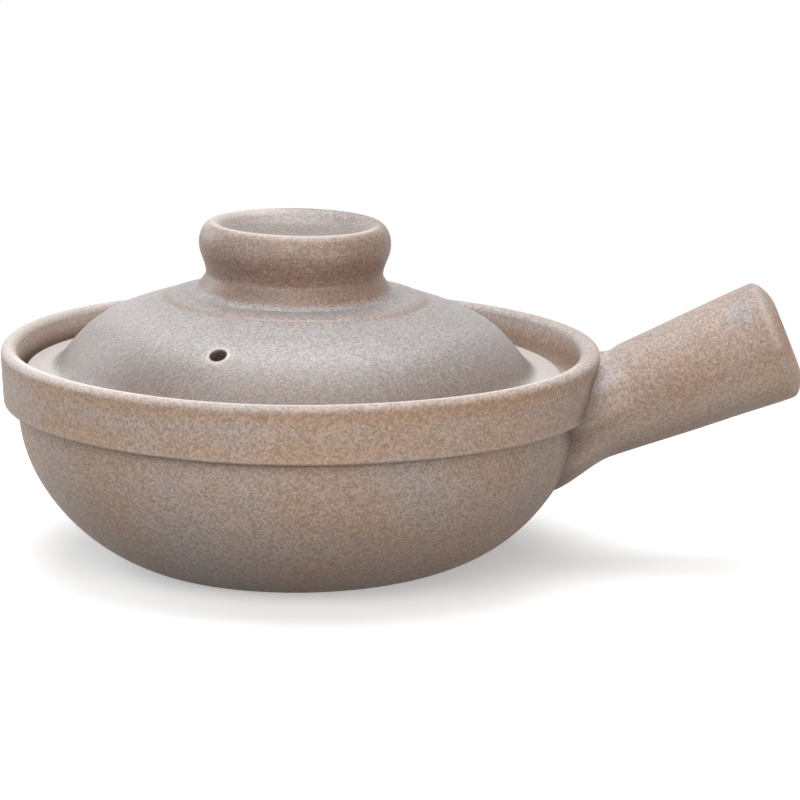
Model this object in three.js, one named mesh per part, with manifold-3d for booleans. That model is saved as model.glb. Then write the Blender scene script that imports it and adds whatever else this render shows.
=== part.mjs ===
// A single-handle clay pot with a drop-in lid, as a potter puts it together:
// a thrown bowl with a thick collar, a hollow handle luted to its side, a
// domed lid shell and a ring knob luted to the lid. Millimetres, +Z up.
// The origin is the centre of the flat base and the handle points along +X.

import * as THREE from 'three';
import { mergeVertices } from 'three/addons/utils/BufferGeometryUtils.js';
import Module from 'manifold-3d';

const wasm = await Module();
wasm.setup();

// Fits between the pieces
const jointGap = 0.3;         // handle to bowl, and knob to lid
const seatGap = 0.3;          // lid flange above the ledge it rests on
const seatClearance = 3;      // round the lid's flange inside the rim, when it is centred
const lidShiftShare = 0.6;    // of that clearance: the lid lies off centre, away from the handle
const cutOverrun = 6;         // how far a cutting tool runs past what it cuts

// Bowl: outside
const potHeight = 69;         // base to the top of the rim
const rimRadius = 95;
const lipThickness = 4.9;
const lipRoundShare = 0.49;   // of the lip's thickness
const collarInset = 0.5;      // the collar's lower corner lies a little inside the rim
const collarHeight = 18;      // top of the rim down to that corner
const collarRound = 1.3;
const collarDrop = 1.3;       // how far the collar's underside falls back to the wall
const foldRound = 0.8;
const wallInset = 5.5;        // rim in to the wall's widest circle, under the collar
const sweepRadius = 57.5;     // half width of the ellipse that the wall follows to the base
const baseRadius = 48;
const baseRound = 2.5;

// Bowl: inside
const rimWall = 6.7;          // outside of the rim in to the wall above the ledge
const coveRound = 3;
const ledgeDepth = 14.7;      // top of the rim down to the ledge
const ledgeWidth = 7.5;
const ledgeRound = 1.2;
const wallThickness = 7.5;
const floorThickness = 6;

// Lid shell, measured up from the underside of its flange
const flangeWidth = 9.5;      // flange's edge in to the fold where the dome turns up
const flangeThickness = 4.2;
const flangeRound = 1.3;
const foldHeight = 5.6;
const foldSweep = 4;
const shoulderShare = 0.66;   // place of the dome's shoulder, from the step out to the fold
const fullnessShare = 0.95;   // how far the dome swells out towards its shoulder
const crownRadius = 138;      // the crown is a shallow spherical cap
const crownHeight = 35.7;
const stepWidth = 7.5;        // turned step that shows round the knob's foot
const stepHeight = 0.7;
const shellThickness = 5.2;
const innerRound = 1.5;

// Steam hole
const ventDiameter = 5;
const ventInset = 13.9;       // in from the fold
const ventAngle = 251.2;      // degrees from the handle's direction

// Ring knob, measured up from its foot on the lid
const knobRise = 21.2;
const knobRadius = 30.4;
const knobShoulderDrop = 6.8; // top of the knob down to where its side draws in
const knobSideRound = 12;
const knobWaistInset = 2.7;
const knobWaistRise = 2;
const knobWaistRoundShare = 0.95; // of the foot's width
const knobLipThickness = 6.6;
const knobLipRoundShare = 0.485;  // of the lip's thickness
const knobFootReach = 3.1;    // the foot is wider than the knob
const knobFootEdge = 0.7;
const cupDepth = 8.8;
const cupRound = 5;
const cupTaper = 1.2;         // the cup is this much narrower at its floor

// Handle, measured along its axis from the point under the rim's edge
const handleTilt = 23.2;      // degrees above level
const handleDrop = 19.4;      // top of the rim down to the axis, at the rim's radius
const handleLength = 65.4;
const handleRootRadius = 15.9;
const handleEndRadius = 19.4;
const handleInset = 26;       // length that starts inside the wall, cut away there
const endCrown = 4.5;         // the end is a shallow dome with a bore in its middle
const boreRadius = 9.5;
const boreMouthRound = 1.6;
const boreDepth = 34;
const boreFloorRound = 3;
const boreTaper = 1;          // the bore is this much narrower at its floor
const sideFlareReach = 8;     // clay smeared out sideways where the handle joins
const sideFlareStart = 8;
const sideFlareLength = 14;
const underFlareReach = 3.2;  // and downwards
const underFlareStart = 0;
const underFlareLength = 20;
const flareCoreShare = 0.5;   // of the root's radius: the smearing leaves what is inside it

// How finely curves are divided
const potSegments = 56;
const knobSegments = 40;
const handleSegments = 40;
const ventSegments = 20;
const arcStep = 20;           // degrees of turn for each step of a rounded corner
const wallSteps = 9;
const crownSteps = 3;
const domeSteps = 7;
const endSteps = 5;
const flareSteps = 6;
const weldDistance = 0.001;
const clayRoughness = 0.9;

const clayColour = 0x9c8679;
const warmClayColour = 0xa58a74;
const lidClayColour = 0x9f8f88;

// Heights and radii that follow from the sizes above
const lipRound = lipThickness * lipRoundShare;
const collarRadius = rimRadius - collarInset;
const bowlRadius = rimRadius - wallInset;
const bellyHeight = potHeight - collarHeight;
const wallCentre = bowlRadius - sweepRadius;
const sweepHeight = bellyHeight / Math.sqrt(1 - ((baseRadius - wallCentre) / sweepRadius) ** 2);
const coveRadius = rimRadius - rimWall;
const ledgeRadius = coveRadius - ledgeWidth;
const ledgeHeight = potHeight - ledgeDepth;
const innerSweepRadius = sweepRadius - wallThickness;
const innerSweepHeight = bellyHeight - floorThickness;
const flangeRadius = coveRadius - seatClearance;
const foldRadius = flangeRadius - flangeWidth;
const ventRadius = foldRadius - ventInset;
const lidShift = seatClearance * lidShiftShare;
const knobFootRadius = knobRadius + knobFootReach;
const knobWaistRound = (knobFootReach + knobWaistInset) * knobWaistRoundShare;
const knobLipRound = knobLipThickness * knobLipRoundShare;
const stepRadius = knobFootRadius + stepWidth;

const point = (x, y) => new THREE.Vector2(x, y);
const radians = THREE.MathUtils.degToRad;

// Replaces each corner that has a rounding by an arc, and keeps the others.
function roundedOutline(corners) {
  const points = [];
  corners.forEach(({ at, round }, index) => {
    if (!round) {
      points.push(at);
      return;
    }
    const toBefore = corners[index - 1].at.clone().sub(at).normalize();
    const toAfter = corners[index + 1].at.clone().sub(at).normalize();
    const half = Math.acos(toBefore.dot(toAfter)) / 2;
    const middle = toBefore.clone().add(toAfter).normalize();
    const centre = at.clone().addScaledVector(middle, round / Math.sin(half));
    const start = at.clone().addScaledVector(toBefore, round / Math.tan(half)).sub(centre);
    const side = Math.sign(toBefore.cross(toAfter));
    const turn = Math.PI - 2 * half;
    const steps = Math.max(2, Math.ceil(turn / radians(arcStep)));
    for (let step = 0; step <= steps; step++) {
      const angle = -side * turn * step / steps;
      points.push(start.clone().rotateAround(point(0, 0), angle).add(centre));
    }
  });
  return points;
}

// A revolved piece: the outline runs from the axis, out underneath, and back over the top.
function revolve(corners, segments) {
  return new THREE.LatheGeometry(roundedOutline(corners), segments);
}

const corner = (x, y, round = 0) => ({ at: point(x, y), round });

// Turns a closed geometry into a solid for cutting.
function solidFrom(geometry) {
  const bare = geometry.clone();
  bare.deleteAttribute('normal');
  bare.deleteAttribute('uv');
  const welded = mergeVertices(bare, weldDistance);
  const corners = welded.index.array;
  const triangles = [];
  for (let first = 0; first < corners.length; first += 3) {
    const [a, b, c] = corners.slice(first, first + 3);
    if (a !== b && b !== c && c !== a) triangles.push(a, b, c);
  }
  return new wasm.Manifold(new wasm.Mesh({
    numProp: 3,
    vertProperties: new Float32Array(welded.attributes.position.array),
    triVerts: new Uint32Array(triangles),
  }));
}

function geometryFrom(solid) {
  const mesh = solid.getMesh();
  const geometry = new THREE.BufferGeometry();
  geometry.setAttribute('position', new THREE.BufferAttribute(mesh.vertProperties, 3));
  geometry.setIndex(new THREE.BufferAttribute(mesh.triVerts, 1));
  return geometry;
}

function clay(color) {
  return new THREE.MeshStandardMaterial({ color, roughness: clayRoughness, metalness: 0 });
}

// Lathe geometry turns about Y; the part stands on Z.
function upright(geometry) {
  return geometry.rotateX(Math.PI / 2);
}

// Points on an elliptical arc, from its widest point down to the lowest height.
function sweepPoints(centre, widest, height, half, lowest) {
  const lastAngle = Math.asin((widest - lowest) / height);
  return Array.from({ length: wallSteps + 1 }, (_, step) => {
    const angle = lastAngle * step / wallSteps;
    return corner(centre + half * Math.cos(angle), widest - height * Math.sin(angle));
  });
}

// The outside of the bowl from the base up to the collar's corner.
function bowlOutside(rim) {
  const wall = sweepPoints(wallCentre, bellyHeight, sweepHeight, sweepRadius, 0).reverse();
  const collarCorner = potHeight - collarHeight;
  return [
    corner(0, 0),
    corner(wall[0].at.x, 0, baseRound),
    ...wall.slice(1, -1),
    corner(bowlRadius, collarCorner - collarDrop, foldRound),
    corner(collarRadius, collarCorner, collarRound),
    ...rim,
  ];
}

function bowlGeometry() {
  const inside = sweepPoints(wallCentre, bellyHeight, innerSweepHeight, innerSweepRadius,
    floorThickness);
  return upright(revolve([
    ...bowlOutside([
      corner(rimRadius, potHeight, lipRound),
      corner(rimRadius - lipThickness, potHeight, lipRound),
    ]),
    corner(coveRadius, ledgeHeight, coveRound),
    corner(ledgeRadius, ledgeHeight, ledgeRound),
    ...inside,
    corner(0, floorThickness),
  ], potSegments));
}

// The bowl's outside as one full solid, grown by the joint gap, to cut the handle's root.
function bowlEnvelope() {
  const grown = bowlOutside([corner(rimRadius, potHeight, lipRound), corner(0, potHeight)]);
  const outline = roundedOutline(grown);
  const moved = outline.map((at, index) => {
    const before = outline[Math.max(index - 1, 0)];
    const after = outline[Math.min(index + 1, outline.length - 1)];
    const along = after.clone().sub(before).normalize();
    const out = point(along.y, -along.x);
    return at.x === 0 ? point(0, at.y + jointGap * out.y) : at.clone().addScaledVector(out, jointGap);
  });
  return solidFrom(upright(new THREE.LatheGeometry(moved, potSegments)));
}

// The height of the crown at a radius: a spherical cap under the knob.
const crownAt = (radius) =>
  crownHeight - crownRadius + Math.sqrt(crownRadius ** 2 - radius ** 2);

function crownPoints(from, to, lift) {
  return Array.from({ length: crownSteps + 1 }, (_, step) => {
    const radius = THREE.MathUtils.lerp(from, to, step / crownSteps);
    return corner(radius, crownAt(radius) + lift);
  });
}

// The dome between the fold and the step: a cubic curve that bulges towards its shoulder.
function domeCurve() {
  const fold = point(foldRadius, foldHeight);
  const edgeRadius = stepRadius + stepHeight;
  const edge = point(edgeRadius, crownAt(edgeRadius));
  const slope = edgeRadius / Math.sqrt(crownRadius ** 2 - edgeRadius ** 2);
  const run = (foldRadius - edgeRadius) * shoulderShare;
  const shoulder = point(edge.x + run, edge.y - run * slope);
  return new THREE.CubicBezierCurve(
    fold,
    fold.clone().lerp(shoulder, fullnessShare),
    edge.clone().lerp(shoulder, fullnessShare),
    edge,
  );
}

// Points on the dome from the fold up to the step, or on its underside when set in.
function domePoints(inset = 0) {
  const curve = domeCurve();
  return Array.from({ length: domeSteps + 1 }, (_, step) => {
    const at = curve.getPoint(step / domeSteps);
    const along = curve.getTangent(step / domeSteps);
    return corner(at.x - inset * along.y, at.y + inset * along.x);
  });
}

function lidGeometry() {
  const [, ...dome] = domePoints();
  const underside = domePoints(shellThickness).reverse();
  const [above, skirtEnd] = underside.slice(-2).map(({ at }) => at);
  const skirt = skirtEnd.clone().sub(above);
  const foot = skirtEnd.clone().addScaledVector(skirt, -skirtEnd.y / skirt.y);
  return upright(revolve([
    ...crownPoints(0, underside[0].at.x, -shellThickness).slice(0, -1),
    ...underside.slice(0, -1),
    corner(foot.x, foot.y, innerRound),
    corner(flangeRadius, 0, flangeRound),
    corner(flangeRadius, flangeThickness, flangeRound),
    corner(foldRadius, foldHeight, foldSweep),
    ...dome,
    ...crownPoints(0, stepRadius, stepHeight).reverse(),
  ], potSegments));
}

// The steam hole, square to the dome where it is pierced.
function ventTool() {
  const dome = domePoints().map(({ at }) => at);
  const outer = dome.findLastIndex((at) => at.x >= ventRadius);
  const [low, high] = [dome[outer], dome[outer + 1]];
  const share = (ventRadius - low.x) / (high.x - low.x);
  const length = 2 * (shellThickness + cutOverrun);
  const tool = new THREE.CylinderGeometry(ventDiameter / 2, ventDiameter / 2, length, ventSegments);
  const placed = new THREE.Object3D();
  const angle = radians(ventAngle);
  const lean = Math.atan2(high.y - low.y, low.x - high.x);
  placed.rotation.set(0, lean, angle, 'ZYX');
  placed.position.set(
    ventRadius * Math.cos(angle),
    ventRadius * Math.sin(angle),
    THREE.MathUtils.lerp(low.y, high.y, share),
  );
  placed.updateMatrix();
  return solidFrom(upright(tool).applyMatrix4(placed.matrix));
}

function knobGeometry() {
  const lift = stepHeight + jointGap;
  const foot = crownAt(knobFootRadius) + lift;
  const top = foot + knobRise;
  const lipInside = knobRadius - knobLipThickness;
  return upright(revolve([
    ...crownPoints(0, knobFootRadius, lift),
    corner(knobFootRadius, foot + knobFootEdge),
    corner(knobRadius - knobWaistInset, foot + knobWaistRise, knobWaistRound),
    corner(knobRadius, top - knobShoulderDrop, knobSideRound),
    corner(knobRadius, top, knobLipRound),
    corner(lipInside, top, knobLipRound),
    corner(lipInside - cupTaper, top - cupDepth, cupRound),
    corner(0, top - cupDepth),
  ], knobSegments));
}

// The handle's domed end, from its side in to the mouth of the bore.
function endPoints() {
  const mouth = boreRadius + boreMouthRound;
  const lastAngle = Math.acos(mouth / handleEndRadius);
  return Array.from({ length: endSteps + 1 }, (_, step) => {
    const angle = lastAngle * step / endSteps;
    return corner(
      handleEndRadius * Math.cos(angle),
      handleLength - endCrown * (1 - Math.sin(angle)),
    );
  });
}

// Spreads the handle's root: clay is drawn out to both sides and underneath.
function smearRoot(geometry) {
  const place = geometry.attributes.position;
  const ease = (along, start, length) =>
    THREE.MathUtils.clamp((start - along) / length, 0, 1) ** 2;
  for (let index = 0; index < place.count; index++) {
    const side = place.getX(index);
    const along = place.getY(index);
    const up = place.getZ(index);
    const radius = Math.hypot(side, up);
    if (radius < handleRootRadius * flareCoreShare) continue;
    const reachSide = sideFlareReach * ease(along, sideFlareStart, sideFlareLength);
    const reachUnder = underFlareReach * ease(along, underFlareStart, underFlareLength);
    place.setX(index, side * (1 + reachSide / radius));
    if (up < 0) place.setZ(index, up * (1 + reachUnder / radius));
  }
  return geometry;
}

function handleGeometry() {
  const slope = (handleEndRadius - handleRootRadius) / (handleLength - endCrown);
  const radiusAt = (along) => handleRootRadius + slope * along;
  const flareRings = Array.from({ length: flareSteps + 1 }, (_, step) =>
    THREE.MathUtils.lerp(-underFlareLength, sideFlareStart, step / flareSteps));
  const end = endPoints();
  const mouthHeight = end.at(-1).at.y;
  const outline = [
    corner(0, -handleInset),
    ...[-handleInset, ...flareRings].map((along) => corner(radiusAt(along), along)),
    ...end,
    corner(boreRadius, mouthHeight - boreMouthRound),
    corner(boreRadius - boreTaper, handleLength - boreDepth, boreFloorRound),
    corner(0, handleLength - boreDepth),
  ];
  const horn = smearRoot(revolve(outline, handleSegments));
  const tilt = radians(handleTilt);
  const along = new THREE.Vector3(Math.cos(tilt), 0, Math.sin(tilt));
  const up = new THREE.Vector3(-Math.sin(tilt), 0, Math.cos(tilt));
  const frame = new THREE.Matrix4().makeBasis(along.clone().cross(up), along, up);
  frame.setPosition(rimRadius, 0, potHeight - handleDrop);
  return geometryFrom(solidFrom(horn.applyMatrix4(frame)).subtract(bowlEnvelope()));
}

function piece(name, geometry, material) {
  const mesh = new THREE.Mesh(geometry, material);
  mesh.name = name;
  return mesh;
}

function pot() {
  const group = new THREE.Group();
  group.add(piece('pot_bowl', bowlGeometry(), clay(clayColour)));
  group.add(piece('handle', handleGeometry(), clay(warmClayColour)));
  return group;
}

function lid() {
  const group = new THREE.Group();
  const shell = geometryFrom(solidFrom(lidGeometry()).subtract(ventTool()));
  group.add(piece('lid_shell', shell, clay(lidClayColour)));
  group.add(piece('lid_knob', knobGeometry(), clay(warmClayColour)));
  group.position.set(-lidShift, 0, ledgeHeight + seatGap);
  return group;
}

const clayPot = new THREE.Group();
clayPot.add(pot(), lid());

export default clayPot;
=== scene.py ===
import math

import bmesh
import bpy
import numpy as np
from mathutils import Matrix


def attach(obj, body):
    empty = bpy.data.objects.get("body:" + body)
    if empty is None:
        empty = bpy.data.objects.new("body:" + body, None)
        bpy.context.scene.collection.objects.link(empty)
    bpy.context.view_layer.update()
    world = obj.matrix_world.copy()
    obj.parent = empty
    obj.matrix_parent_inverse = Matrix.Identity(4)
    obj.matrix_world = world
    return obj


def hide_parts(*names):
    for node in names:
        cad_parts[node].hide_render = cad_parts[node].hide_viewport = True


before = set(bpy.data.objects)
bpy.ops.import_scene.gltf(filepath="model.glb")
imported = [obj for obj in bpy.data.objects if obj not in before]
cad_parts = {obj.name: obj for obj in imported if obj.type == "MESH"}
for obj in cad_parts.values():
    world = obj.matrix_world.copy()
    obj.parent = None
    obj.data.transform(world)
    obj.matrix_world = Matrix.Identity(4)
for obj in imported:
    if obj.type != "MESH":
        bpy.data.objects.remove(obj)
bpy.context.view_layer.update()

# An unglazed clay pot with one stub handle and a loose lid, under soft studio light.
# The dictionaries hold millimetres and degrees, and the finished meshes are in metres.

print("frame loaded:", ", ".join(sorted(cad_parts)))


# Curves and grids

def roundedOutline(corners, step):
    # each corner (x, y, radius) becomes an arc that touches both its sides, and the straight
    # stretches between the arcs are divided into pieces of about one step
    spots = np.array([corner[:2] for corner in corners], float)
    pieces = []
    for index, corner in enumerate(corners):
        radius = corner[2] if len(corner) > 2 else 0.0
        if radius <= 0:
            pieces.append(spots[index][None])
            continue
        before = spots[index - 1] - spots[index]
        after = spots[index + 1] - spots[index]
        before = before / np.linalg.norm(before)
        after = after / np.linalg.norm(after)
        half = math.acos(np.clip(before @ after, -1, 1)) / 2
        middle = (before + after) / np.linalg.norm(before + after)
        centre = spots[index] + middle * radius / math.sin(half)
        start = spots[index] + before * radius / math.tan(half) - centre
        side = np.sign(before[0] * after[1] - before[1] * after[0])
        turn = math.pi - 2 * half
        angle = -side * turn * np.linspace(0, 1, max(6, int(turn / 0.12)))
        cos, sin = np.cos(angle), np.sin(angle)
        arc = np.stack([cos * start[0] - sin * start[1], sin * start[0] + cos * start[1]], 1)
        pieces.append(arc + centre)
    points = np.concatenate(pieces)
    lengths = np.linalg.norm(np.diff(points, axis=0), axis=1)
    points = points[np.concatenate([[True], lengths > 1e-4])]
    lengths = np.linalg.norm(np.diff(points, axis=0), axis=1)
    along = np.concatenate([[0], np.cumsum(lengths)])
    counts = np.maximum(1, np.ceil(lengths / step - 0.3)).astype(int)
    marks = [np.linspace(a, b, n, endpoint=False) for a, b, n in zip(along, along[1:], counts)]
    marks = np.append(np.concatenate(marks), along[-1])
    return np.stack([np.interp(marks, along, points[:, axis]) for axis in (0, 1)], 1)


def bezier(first, second, third, fourth, count):
    # a cubic curve that leaves its first point towards the second one and reaches the fourth
    # from the third; the points may be whole rings, and then each ring point has its own curve
    t = np.linspace(0, 1, count).reshape(-1, *([1] * np.ndim(first)))
    return (first * (1 - t) ** 3 + 3 * second * t * (1 - t) ** 2
            + 3 * third * t * t * (1 - t) + fourth * t ** 3)


def curveThrough(points, step):
    # a smooth line through the points: between two of them a cubic whose end slopes are those
    # of the chords over the neighbours, divided into pieces of about one step
    points = np.array(points, float)
    gaps = np.linalg.norm(np.diff(points, axis=0), axis=1)
    along = np.concatenate([[0], np.cumsum(gaps)])
    slopes = np.gradient(points, along, axis=0)
    marks = [np.linspace(a, b, max(2, math.ceil((b - a) / step)), endpoint=False)
             for a, b in zip(along, along[1:])]
    marks = np.append(np.concatenate(marks), along[-1])
    index = np.clip(np.searchsorted(along, marks, side="right") - 1, 0, len(gaps) - 1)
    gap = gaps[index][:, None]
    t = (marks - along[index])[:, None] / gap
    start = points[index] * (2 * t ** 3 - 3 * t ** 2 + 1)
    finish = points[index + 1] * (3 * t ** 2 - 2 * t ** 3)
    leave = slopes[index] * gap * (t ** 3 - 2 * t ** 2 + t)
    arrive = slopes[index + 1] * gap * (t ** 3 - t ** 2)
    return start + finish + leave + arrive


def smoothStep(value, low, high):
    # 0 below low, 1 above high, with a soft S between
    t = np.clip((value - low) / (high - low), 0, 1)
    return t * t * (3 - 2 * t)


def bell(value, centre, width):
    # a bump of height 1 around centre
    return np.exp(-((value - centre) / width) ** 2)


def band(value, strength, centre, width):
    # a tint that is strongest at centre and gone a little over width away from it
    return strength * bell(value, centre, width)


def ramp(value, strength, low, high):
    # a tint that starts at low and has its full strength from high on
    return strength * smoothStep(value, low, high)


def revolve(outline, turns):
    # point (row, column) is the outline's point (r, z) turned about Z by the column's angle
    angle = np.linspace(0, 2 * math.pi, turns, endpoint=False)
    radius = outline[:, :1]
    height = np.broadcast_to(outline[:, 1:], (len(outline), turns))
    return np.stack([radius * np.cos(angle), radius * np.sin(angle), height], -1)


def gridFaces(rows, turns):
    # quads between each row and the next, and from the last column back to the first
    row = np.arange(rows - 1)[:, None] * turns
    column = np.arange(turns)[None]
    onward = (column + 1) % turns
    quads = np.stack([row + column, row + onward, row + turns + onward, row + turns + column], -1)
    return quads.reshape(-1, 4)


def makePiece(name, points, faces, attributes, material, body, node):
    # points in mm; unused points are dropped, a row on the axis closes to one point,
    # and the closed mesh is turned to face outwards
    used = np.unique(faces)
    place = np.zeros(len(points), int)
    place[used] = np.arange(len(used))
    mesh = bpy.data.meshes.new(name)
    mesh.from_pydata((points[used] * 0.001).tolist(), [], place[faces].tolist())
    for label, values in attributes.items():
        layer = mesh.attributes.new(label, "FLOAT", "POINT")
        layer.data.foreach_set("value", np.asarray(values, np.float32).ravel()[used])
    work = bmesh.new()
    work.from_mesh(mesh)
    bmesh.ops.remove_doubles(work, verts=work.verts, dist=1e-6)
    bmesh.ops.recalc_face_normals(work, faces=work.faces)
    loose = sum(1 for edge in work.edges if len(edge.link_faces) != 2)
    if work.calc_volume(signed=True) < 0:
        bmesh.ops.reverse_faces(work, faces=work.faces)
    volume = work.calc_volume(signed=True)
    work.to_mesh(mesh)
    work.free()
    mesh.shade_smooth()
    # how far each point faces up, from which the materials paint a grey sheen
    normals = np.empty(len(mesh.vertices) * 3, np.float32)
    mesh.vertices.foreach_get("normal", normals)
    upward = mesh.attributes.new("upward", "FLOAT", "POINT")
    upward.data.foreach_set("value", smoothStep(normals[2::3], 0.05, 0.85).astype(np.float32))
    piece = bpy.data.objects.new(name, mesh)
    bpy.context.scene.collection.objects.link(piece)
    mesh.materials.append(material)
    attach(piece, body)
    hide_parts(node)
    triangles = sum(len(face.vertices) - 2 for face in mesh.polygons)
    print(f"{name}: {triangles} triangles, {loose} open edges, {volume * 1e6:.0f} ml of clay")


# Materials

def linearColour(code):
    # an sRGB hex value as linear red, green and blue, with an alpha of 1
    parts = [int(code[i:i + 2], 16) / 255 for i in (1, 3, 5)]
    return [p / 12.92 if p <= 0.04045 else ((p + 0.055) / 1.055) ** 2.4 for p in parts] + [1.0]


def addNode(tree, kind, inputs=None, **settings):
    # adds one node; settings are its properties, and inputs are values or sockets to link
    node = tree.nodes.new(kind)
    for key, value in settings.items():
        setattr(node, key, value)
    for key, value in (inputs or {}).items():
        if isinstance(value, bpy.types.NodeSocket):
            tree.links.new(value, node.inputs[key])
        else:
            node.inputs[key].default_value = value
    return node


grain = {
    "patch": 36.0,            # clouds of warmer and greyer clay
    "mottle": 5.0,
    "sand": 0.62,             # about the finest that the picture can still show
    "fleck": 0.95,            # cells of this size, some of which hold a pale or a dark grit
    "mottleBump": 0.05,
    "sandBump": 0.035,
    # the last two tones on the next line are the painted shade and the painted highlight
    "paleGrit": "#e2cbb0", "darkGrit": "#64504a", "shadeTone": "#53433a", "paintedHighlight": "#e6dcd5",
    "paintedHighlightShare": 0.8,
    "rings": 44.0,            # gives rings about 14 apart, since a wave repeats 3.2 times in it
}


def firedClay(name, body, warm, cool, warmth, roughness, gloss=0.5, lines=0.0):
    # Unglazed stoneware, thrown from sandy clay and fired bare: matt brown-grey with fine
    # sand, a few pale and dark grits, clouds of warmer and greyer clay from the kiln, a painted
    # grey sheen on what faces up, painted shade in creases, hollows and on sides away from the
    # light, and painted highlights on edges. The attributes say where it is warmer (toast), greyer
    # by a smudge or a painted sheen, darker by painted shade, and paler by painted highlights (edge).
    material = bpy.data.materials.new(name)
    material.use_nodes = True
    tree = material.node_tree
    tree.nodes.clear()
    place = addNode(tree, "ShaderNodeTexCoord").outputs["Object"]
    toast = addNode(tree, "ShaderNodeAttribute", attribute_name="toast").outputs["Fac"]
    edge = addNode(tree, "ShaderNodeAttribute", attribute_name="edge").outputs["Fac"]
    sheenAndSmudge = addNode(tree, "ShaderNodeAttribute", attribute_name="sheenAndSmudge").outputs["Fac"]
    paintedShade = addNode(tree, "ShaderNodeAttribute", attribute_name="paintedShade").outputs["Fac"]
    upward = addNode(tree, "ShaderNodeAttribute", attribute_name="upward").outputs["Fac"]
    patches = addNode(tree, "ShaderNodeTexNoise", {
        "Vector": place, "Scale": 1000 / grain["patch"], "Detail": 3}).outputs["Fac"]
    mottle = addNode(tree, "ShaderNodeTexNoise", {
        "Vector": place, "Scale": 1000 / grain["mottle"], "Detail": 3}).outputs["Fac"]
    sand = addNode(tree, "ShaderNodeTexVoronoi", {
        "Vector": place, "Scale": 1000 / grain["sand"]}).outputs
    flecks = addNode(tree, "ShaderNodeTexVoronoi", {
        "Vector": place, "Scale": 1000 / grain["fleck"]}).outputs

    # body clay, warmer in the clouds and where toasted, greyer by a painted sheen where it faces up
    clouds = addNode(tree, "ShaderNodeMapRange", {
        "Value": patches, "From Min": 0.36, "From Max": 0.64, "To Max": warmth}).outputs[0]
    warmer = addNode(tree, "ShaderNodeMath", {0: clouds, 1: toast}).outputs[0]
    uneven = addNode(tree, "ShaderNodeMapRange", {
        "Value": mottle, "From Min": 0.15, "From Max": 0.6, "To Min": 0.68}).outputs[0]
    warmer = addNode(tree, "ShaderNodeMath", {0: warmer, 1: uneven}, operation="MULTIPLY",
                     use_clamp=True).outputs[0]
    colour = addNode(tree, "ShaderNodeMix", {
        0: warmer, 6: linearColour(body), 7: linearColour(warm)}, data_type="RGBA").outputs[2]
    sheen = addNode(tree, "ShaderNodeMath", {0: upward, 1: 0.5, 2: sheenAndSmudge},
                    operation="MULTIPLY_ADD", use_clamp=True).outputs[0]
    colour = addNode(tree, "ShaderNodeMix", {
        0: sheen, 6: colour, 7: linearColour(cool)}, data_type="RGBA").outputs[2]

    # every grain of sand has its own shade and a little of its own hue, and some grits stand out
    shades = addNode(tree, "ShaderNodeSeparateColor", {"Color": sand["Color"]}).outputs["Red"]
    shades = addNode(tree, "ShaderNodeMix", {0: 0.20, 6: shades, 7: sand["Color"]},
                     data_type="RGBA").outputs[2]
    colour = addNode(tree, "ShaderNodeMix", {0: 0.50, 6: colour, 7: shades},
                     data_type="RGBA", blend_type="SOFT_LIGHT").outputs[2]
    near = addNode(tree, "ShaderNodeMapRange", {
        "Value": flecks["Distance"], "From Min": 0.34, "From Max": 0.20}).outputs[0]
    kinds = addNode(tree, "ShaderNodeSeparateColor", {"Color": flecks["Color"]}).outputs
    for kind, tone in (("Red", grain["paleGrit"]), ("Green", grain["darkGrit"])):
        chosen = addNode(tree, "ShaderNodeMapRange", {
            "Value": kinds[kind], "From Min": 0.40, "From Max": 1.0, "To Max": 0.60}).outputs[0]
        share = addNode(tree, "ShaderNodeMath", {0: near, 1: chosen},
                        operation="MULTIPLY").outputs[0]
        colour = addNode(tree, "ShaderNodeMix", {
            0: share, 6: colour, 7: linearColour(tone)}, data_type="RGBA").outputs[2]
    # painted shade darkens the clay, and painted highlights make it paler
    colour = addNode(tree, "ShaderNodeMix", {
        0: paintedShade, 6: colour, 7: linearColour(grain["shadeTone"])}, data_type="RGBA").outputs[2]
    paintedHighlight = addNode(tree, "ShaderNodeMath", {0: edge, 1: grain["paintedHighlightShare"]},
                    operation="MULTIPLY", use_clamp=True).outputs[0]
    colour = addNode(tree, "ShaderNodeMix", {
        0: paintedHighlight, 6: colour, 7: linearColour(grain["paintedHighlight"])}, data_type="RGBA").outputs[2]

    # relief in millimetres: a slightly uneven skin with sand in it
    relief = addNode(tree, "ShaderNodeMath", {0: mottle, 1: grain["mottleBump"]},
                     operation="MULTIPLY").outputs[0]
    relief = addNode(tree, "ShaderNodeMath", {
        0: sand["Distance"], 1: -grain["sandBump"], 2: relief},
        operation="MULTIPLY_ADD").outputs[0]
    if lines:
        # shallow, slightly uneven rings that the potter's rib left
        rings = addNode(tree, "ShaderNodeTexWave", {
            "Vector": place, "Scale": 1000 / grain["rings"], "Distortion": 1.4, "Detail": 2.0,
            "Detail Scale": 1.2}, bands_direction="Z").outputs["Fac"]
        relief = addNode(tree, "ShaderNodeMath", {0: rings, 1: lines, 2: relief},
                         operation="MULTIPLY_ADD").outputs[0]
    bump = addNode(tree, "ShaderNodeBump", {
        "Strength": 1.0, "Distance": 0.001, "Height": relief}).outputs["Normal"]

    shader = addNode(tree, "ShaderNodeBsdfPrincipled", {
        "Base Color": colour, "Roughness": roughness, "IOR": 1.5,
        "Specular IOR Level": gloss, "Normal": bump})
    addNode(tree, "ShaderNodeOutputMaterial", {"Surface": shader.outputs["BSDF"]})
    return material


potClay = firedClay("pot_unglazed_stoneware", "#aea099", "#b0937e", "#b3abaa",
                    warmth=0.7, roughness=0.66)
# the lid's clay is a little darker and smoother, with the rib's rings in its skin
lidClay = firedClay("lid_unglazed_stoneware", "#92867f", "#8a6d5b", "#918c8c",
                    warmth=0.5, roughness=0.45, gloss=0.8, lines=0.045)
print("clay materials made")


# Bowl

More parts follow.
